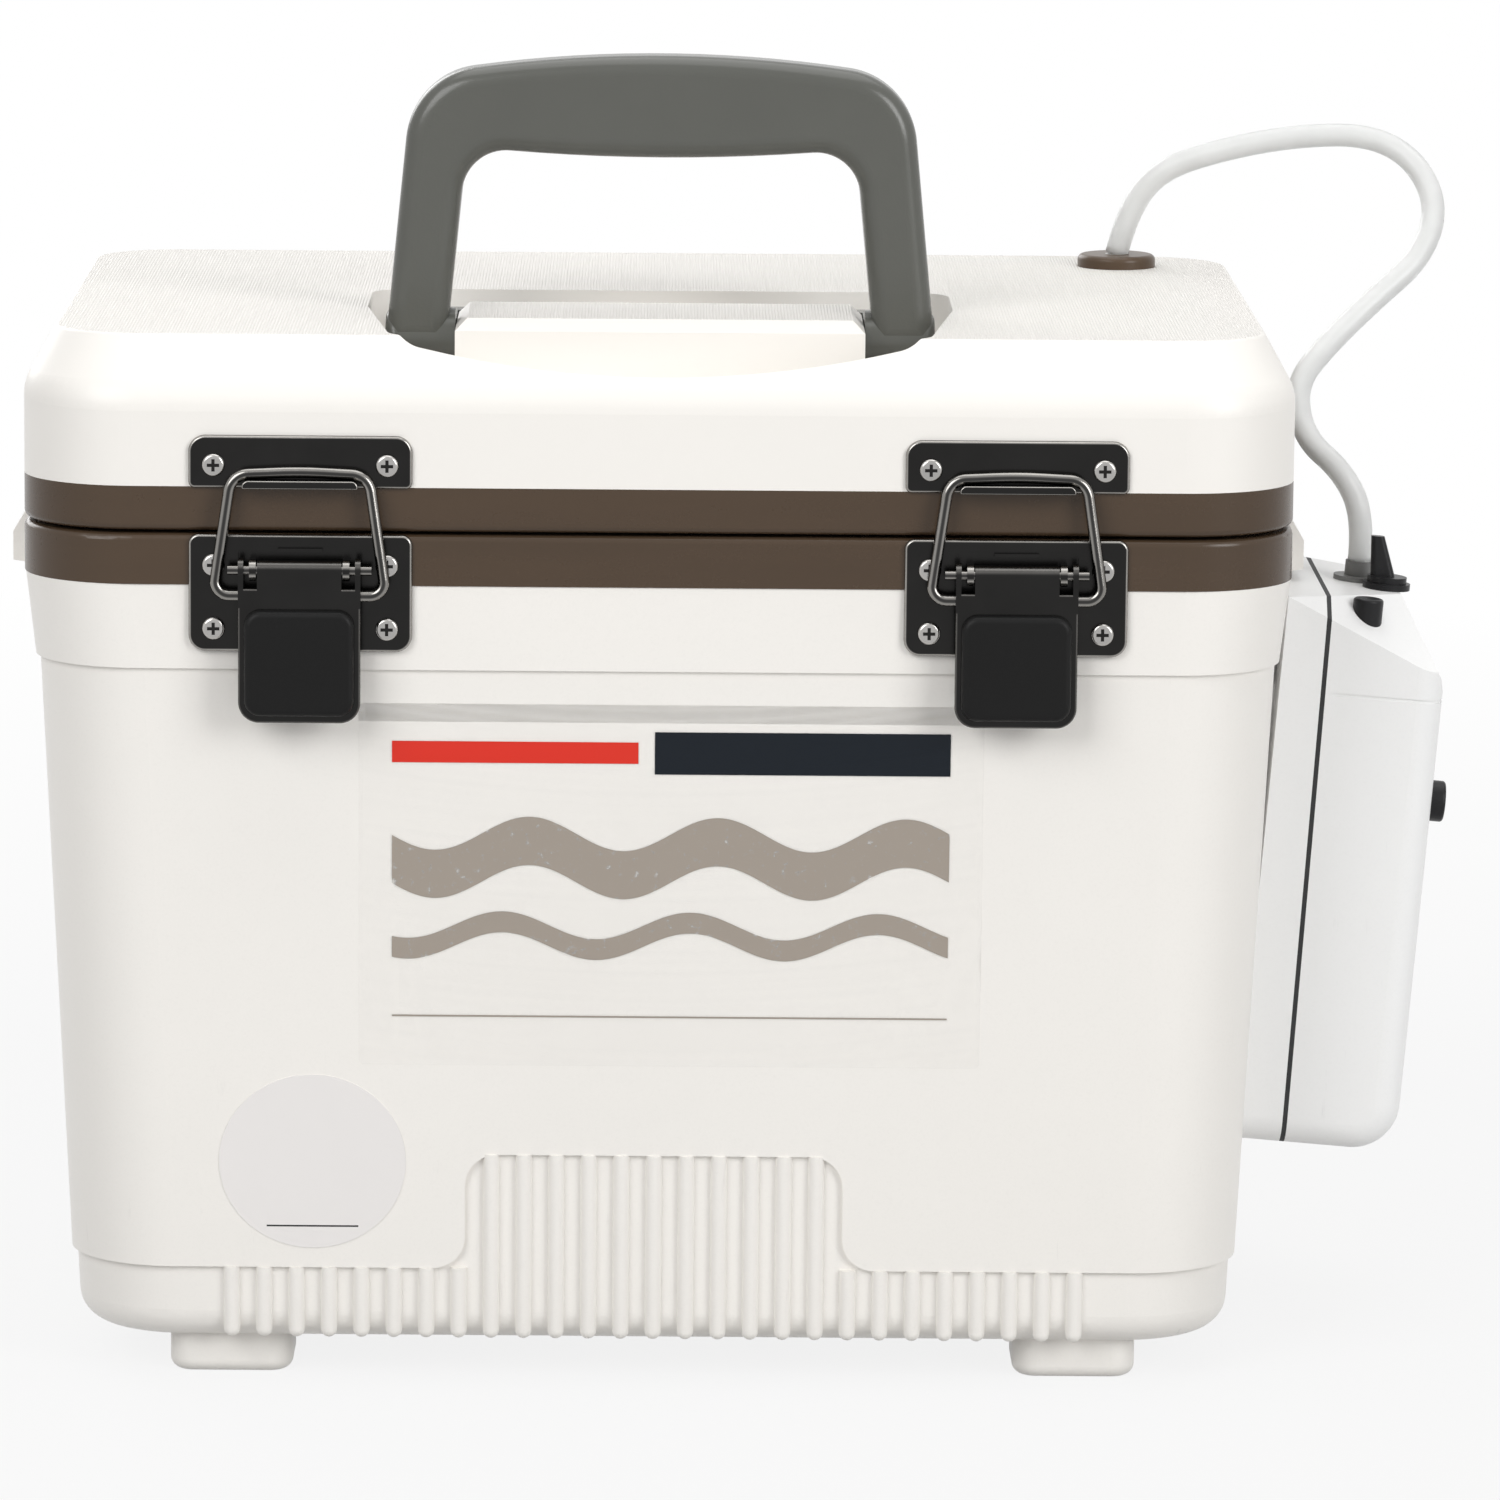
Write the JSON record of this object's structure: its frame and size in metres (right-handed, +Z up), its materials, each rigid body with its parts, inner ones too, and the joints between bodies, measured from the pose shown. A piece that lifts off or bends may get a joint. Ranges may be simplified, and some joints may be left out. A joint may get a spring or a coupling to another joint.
{
  "type": "aerated bait bucket",
  "caption": "Insulated box-shaped live-bait bucket with a hinged latching lid, a folding carry handle and a side-mounted battery air pump with its tube.",
  "frame": {"origin": "floor under the middle of the whole part's bounding box", "axes": "+X right, where the pump hangs, +Y to the hinges at the rear, +Z up; the latches face -Y"},
  "size_m": [0.3669, 0.232, 0.3237],
  "materials": {
    "shell_white": "satin",
    "band_taupe": "satin",
    "liner_white": "satin",
    "foam": "matte",
    "seal_rubber": "matte",
    "handle_grey": "satin",
    "pin_steel": "satin",
    "latch_dark": "satin",
    "pad_black": "matte",
    "screw_chrome": "polished",
    "pump_white": "satin",
    "pump_seal": "matte",
    "black_plastic": "satin",
    "nozzle_grey": "satin",
    "cell_jacket": "satin",
    "contact_steel": "satin",
    "silicone_tube": "gloss",
    "stone_grey": "matte",
    "label_film": "gloss",
    "sticker_print": "gloss"
  },
  "bodies": {
    "bucket": {"tub_shell": "shell_white", "tub_base": "shell_white", "tub_feet": "shell_white", "tub_liner": "liner_white", "tub_foam": "foam", "tub_rim": "band_taupe", "front_label": "label_film", "capacity_sticker": "sticker_print", "latch_base_left": "latch_dark", "latch_base_right": "latch_dark", "latch_pin_left": "pin_steel", "latch_pin_right": "pin_steel", "latch_base_screws": "screw_chrome", "hinge_leaf_tub": "pin_steel", "hinge_pins": "pin_steel", "hinge_screws_tub": "screw_chrome", "pump_back_shell": "pump_white", "pump_front_shell": "pump_white", "pump_gasket": "pump_seal", "pump_nozzle": "nozzle_grey", "pump_plug": "black_plastic", "battery_cells": "cell_jacket", "battery_contacts": "contact_steel", "pump_chassis": "nozzle_grey", "pump_motor": "pin_steel", "pump_head": "black_plastic", "pump_bracket": "pump_white", "bracket_screws": "screw_chrome", "air_tube": "silicone_tube"},
    "lid": {"lid_shell": "shell_white", "lid_rim": "band_taupe", "lid_gasket": "seal_rubber", "lid_liner": "liner_white", "lid_foam": "foam", "keeper_left": "latch_dark", "keeper_right": "latch_dark", "keeper_screws": "screw_chrome", "hinge_leaf_lid": "pin_steel", "hinge_screws_lid": "screw_chrome", "handle_pins": "pin_steel", "tube_grommet": "nozzle_grey", "drop_tube": "silicone_tube", "air_stone": "stone_grey"},
    "handle": {"handle": "handle_grey"},
    "latch_lever_left": {"latch_lever_left": "latch_dark", "lever_pad_left": "pad_black"},
    "latch_lever_right": {"latch_lever_right": "latch_dark", "lever_pad_right": "pad_black"},
    "latch_bail_left": {"latch_bail_left": "latch_dark"},
    "latch_bail_right": {"latch_bail_right": "latch_dark"},
    "speed_lever": {"speed_lever": "black_plastic"},
    "release_button": {"release_button": "black_plastic"}
  },
  "joints": [
    {"name": "lid_hinge", "type": "hinge", "parent": "bucket", "child": "lid", "pos_m": [-0.01795, 0.11315, 0.213], "axis": [-1, 0, 0], "range_deg": [0, 105], "deforming": ["air_tube"]},
    {"name": "handle_fold", "type": "hinge", "parent": "lid", "child": "handle", "pos_m": [-0.01795, -0.03585, 0.252], "axis": [1, 0, 0], "range_deg": [0, 78]},
    {"name": "latch_left_lever", "type": "hinge", "parent": "bucket", "child": "latch_lever_left", "pos_m": [-0.10465, -0.11085, 0.2046], "axis": [-1, 0, 0], "range_deg": [0, 130]},
    {"name": "latch_left_bail", "type": "hinge", "parent": "latch_lever_left", "child": "latch_bail_left", "pos_m": [-0.10465, -0.11065, 0.1984], "axis": [-1, 0, 0], "range_deg": [-130, 0]},
    {"name": "latch_right_lever", "type": "hinge", "parent": "bucket", "child": "latch_lever_right", "pos_m": [0.06875, -0.11085, 0.2046], "axis": [-1, 0, 0], "range_deg": [0, 130]},
    {"name": "latch_right_bail", "type": "hinge", "parent": "latch_lever_right", "child": "latch_bail_right", "pos_m": [0.06875, -0.11065, 0.1984], "axis": [-1, 0, 0], "range_deg": [-130, 0]},
    {"name": "speed_turn", "type": "hinge", "parent": "bucket", "child": "speed_lever", "pos_m": [0.16696, -0.00885, 0.18773], "axis": [0.0802, 0, 0.9968], "range_deg": [-60, 60]},
    {"name": "button_press", "type": "slide", "parent": "bucket", "child": "release_button", "axis": [-0.9968, 0, 0.0802], "range_m": [0, 0.0015], "stiffness_N_per_m": 300}
  ],
  "couplings": [
    {"joint": "latch_left_bail", "follows": "latch_left_lever", "ratio": -1},
    {"joint": "latch_right_bail", "follows": "latch_right_lever", "ratio": -1}
  ]
}
